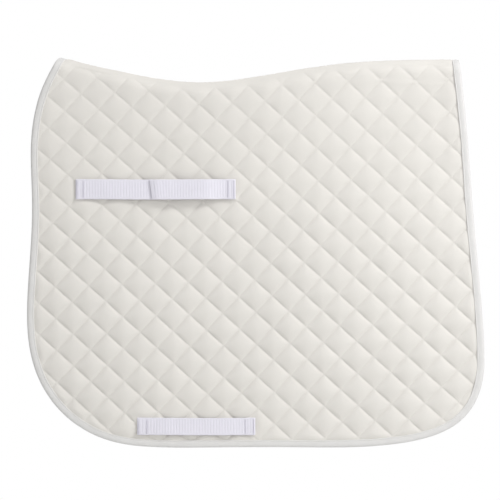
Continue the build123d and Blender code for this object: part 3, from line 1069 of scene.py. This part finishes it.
# Where each strap begins to rise from its sewn end, and how long the rise is.
GIRTH_RISE = (SEWN + 1 * MM, 30 * MM)
FRONT_RISE, REAR_RISE = (15 * MM, 38 * MM), (15 * MM, 36 * MM)
REAR_SLANT = 0.13
HELD_PAST, FREE_PAST = 1.5 * MM, 9 * MM  # the webbing bends between these places about its hinge
HOOK_PITCH = 1.5 * MM


def sew_pad(name, sign):
    """One quilted side, its quilting, and its bound edge."""
    bend = fold_bend(name, sign)
    pad = make_mesh(f"{name}_quilted_side", hang(QUILT, sign), QUILT_FACES, flip=sign > 0, uv=QUILT[:, :2])
    finish_piece(pad, COTTON, (f"{name}_face_cloth", f"{name}_wadding", f"{name}_lining",
                               "spine_face_cloth", "spine_wadding", "spine_lining"), bend=bend)

    for face, out in (("face", True), ("lining", False)):
        rows = [on_cloth(line, out, sign) for line in SEAM_LINES]
        seams = sew_rows(f"{name}_{face}_quilting_stitches", rows, QUILTING_PITCH, QUILTING_LENGTH,
                         THREAD_THICKNESS)
        finish_piece(seams, THREAD, bend=bend)

    binding = bind_edge(name, sign)
    finish_piece(binding, BINDING, (f"{name}_edge_binding", "front_spine_binding", "rear_spine_binding"),
                 bend=bend)
    rows = [binding_row(sign, out) for out in (True, False)]
    rows.append(hang(along_spine(SPINE_BAND, SEAM_OUT + 0.1 * MM), sign))
    stitches = sew_rows(f"{name}_binding_stitches", rows, BINDING_PITCH, BINDING_LENGTH, THREAD_THICKNESS)
    finish_piece(stitches, THREAD, bend=bend)


def sew_girth_strap(name, sign):
    """The lower strap, sewn down at both ends."""
    body = f"{name}_side"
    path = loop_path(girth_low.x, girth_high.x, SEAT, RAISED, *GIRTH_RISE)
    strap = weave_strap(f"{name}_girth_webbing", path, GIRTH_WIDTH, GIRTH_Z, sign)
    finish_piece(strap, WEBBING, [f"{name}_girth_strap"], body=body)
    bar_tacks(f"{name}_girth_tack_threads", f"{name}_girth_strap_tacks", body, GIRTH_Z, GIRTH_WIDTH, sign)


def sew_billet_front(name, sign):
    """The front half of the upper strap."""
    body = f"{name}_side"
    path = loop_path(billet_low.x, billet_high.x, SEAT, RAISED, *FRONT_RISE, end_sewn=False)
    strap = weave_strap(f"{name}_billet_front_webbing", path, BILLET_WIDTH, BILLET_Z, sign)
    finish_piece(strap, WEBBING, [f"{name}_billet_strap_front"], body=body)
    bar_tacks(f"{name}_billet_front_threads", f"{name}_billet_front_tacks", body, BILLET_Z, BILLET_WIDTH,
              sign)


def sew_billet_rear(name, sign):
    """The rear half of the upper strap, which lies over the front half and opens."""
    body = f"{name}_side"
    free_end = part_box(f"{name}_billet_strap_rear")[0].x
    path = loop_path(rear_high.x, free_end, SEAT, OVER, *REAR_RISE, end_sewn=False)
    path = path[:-1] + [(free_end + 7 * MM, OVER), (free_end + 2.5 * MM, OVER - 1.5 * MM),
                        (free_end, OVER - 1.7 * MM)]
    # weave_strap works towards +x, so this half is woven mirrored and then turned back.
    path = [(-x, y) for x, y in path]
    strap = weave_strap(f"{name}_billet_rear_webbing", path, BILLET_WIDTH, BILLET_Z, sign,
                        slants=(0, REAR_SLANT))
    for vertex in strap.data.vertices:
        vertex.co.x = -vertex.co.x
    strap.data.flip_normals()
    held_at = (BILLET_HINGE + HELD_PAST, 0, BILLET_Z)
    free_at = (BILLET_HINGE - FREE_PAST, 0, BILLET_Z)
    finish_piece(strap, WEBBING, (f"{name}_billet_strap_rear", f"{name}_billet_strap_rear_end"),
                 bend=(body, f"{name}_billet_flap", held_at, free_at))
    bar_tacks(f"{name}_billet_rear_threads", f"{name}_billet_rear_tacks", body, BILLET_Z, BILLET_WIDTH,
              sign)


def close_billet_strap(name, sign):
    """Hook and loop patches between the two halves of the upper strap."""
    flap = f"{name}_billet_flap"
    loops, _ = patch_for(f"{name}_loop_tape", f"{name}_billet_loop_patch", sign)
    finish_piece(loops, LOOPS, [f"{name}_billet_loop_patch"], body=f"{name}_side")
    hook_face, inner = patch_for(f"{name}_hook_tape", f"{name}_billet_hook_patch", sign)
    finish_piece(hook_face, HOOKS, [f"{name}_billet_hook_patch"], body=flap)
    low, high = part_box(f"{name}_billet_hook_patch")
    grid_x, grid_z = np.meshgrid(np.arange(low.x + 2 * MM, high.x - 1.5 * MM, HOOK_PITCH),
                                 np.arange(low.z + 2 * MM, high.z - 1.5 * MM, HOOK_PITCH))
    out = np.full(grid_x.size, sign * (inner + 0.02 * MM))
    roots = np.column_stack([grid_x.ravel(), out, grid_z.ravel()])
    headings = np.tile([0.2, sign, 0.1], (len(roots), 1))
    hooks = sew(f"{name}_hooks", roots, headings, 0.5 * MM, 0.32 * MM, HOOKS)
    finish_piece(hooks, HOOKS, body=flap)


def tape_the_seam():
    """Tape over the spine seam, on the lining side."""
    x = np.linspace(EDGE[0, 0] + 3.5 * MM, EDGE[-1, 0] - 3.5 * MM, 360)
    half, radius = 12 * MM, MIDDLE + SEAM_IN - 0.15 * MM
    turns = np.linspace(-half / radius, half / radius, 15)
    rings, flat = [], []
    for out, order in ((0.0, turns), (-0.95 * MM, turns[::-1])):
        for turn in order:
            r = radius + out + 0.1 * MM * np.sin(x / (6 * MM))
            rings.append(np.column_stack([x, r * math.sin(turn), arch_centre(x) + r * math.cos(turn)]))
            flat.append(np.column_stack([x, np.full(len(x), turn * radius)]))
    points, flat = np.stack(rings, axis=1), np.stack(flat, axis=1)
    faces = tube_faces(*points.shape[:2])
    return make_mesh("spine_tape", points.reshape(-1, 3), faces, uv=flat.reshape(-1, 2))


for name, sign in SIDES:
    sew_pad(name, sign)
    sew_girth_strap(name, sign)
    sew_billet_front(name, sign)
    sew_billet_rear(name, sign)
    close_billet_strap(name, sign)
finish_piece(tape_the_seam(), SEAM_TAPE, ["spine_seam_tape"], body="spine")

bpy.context.view_layer.update()
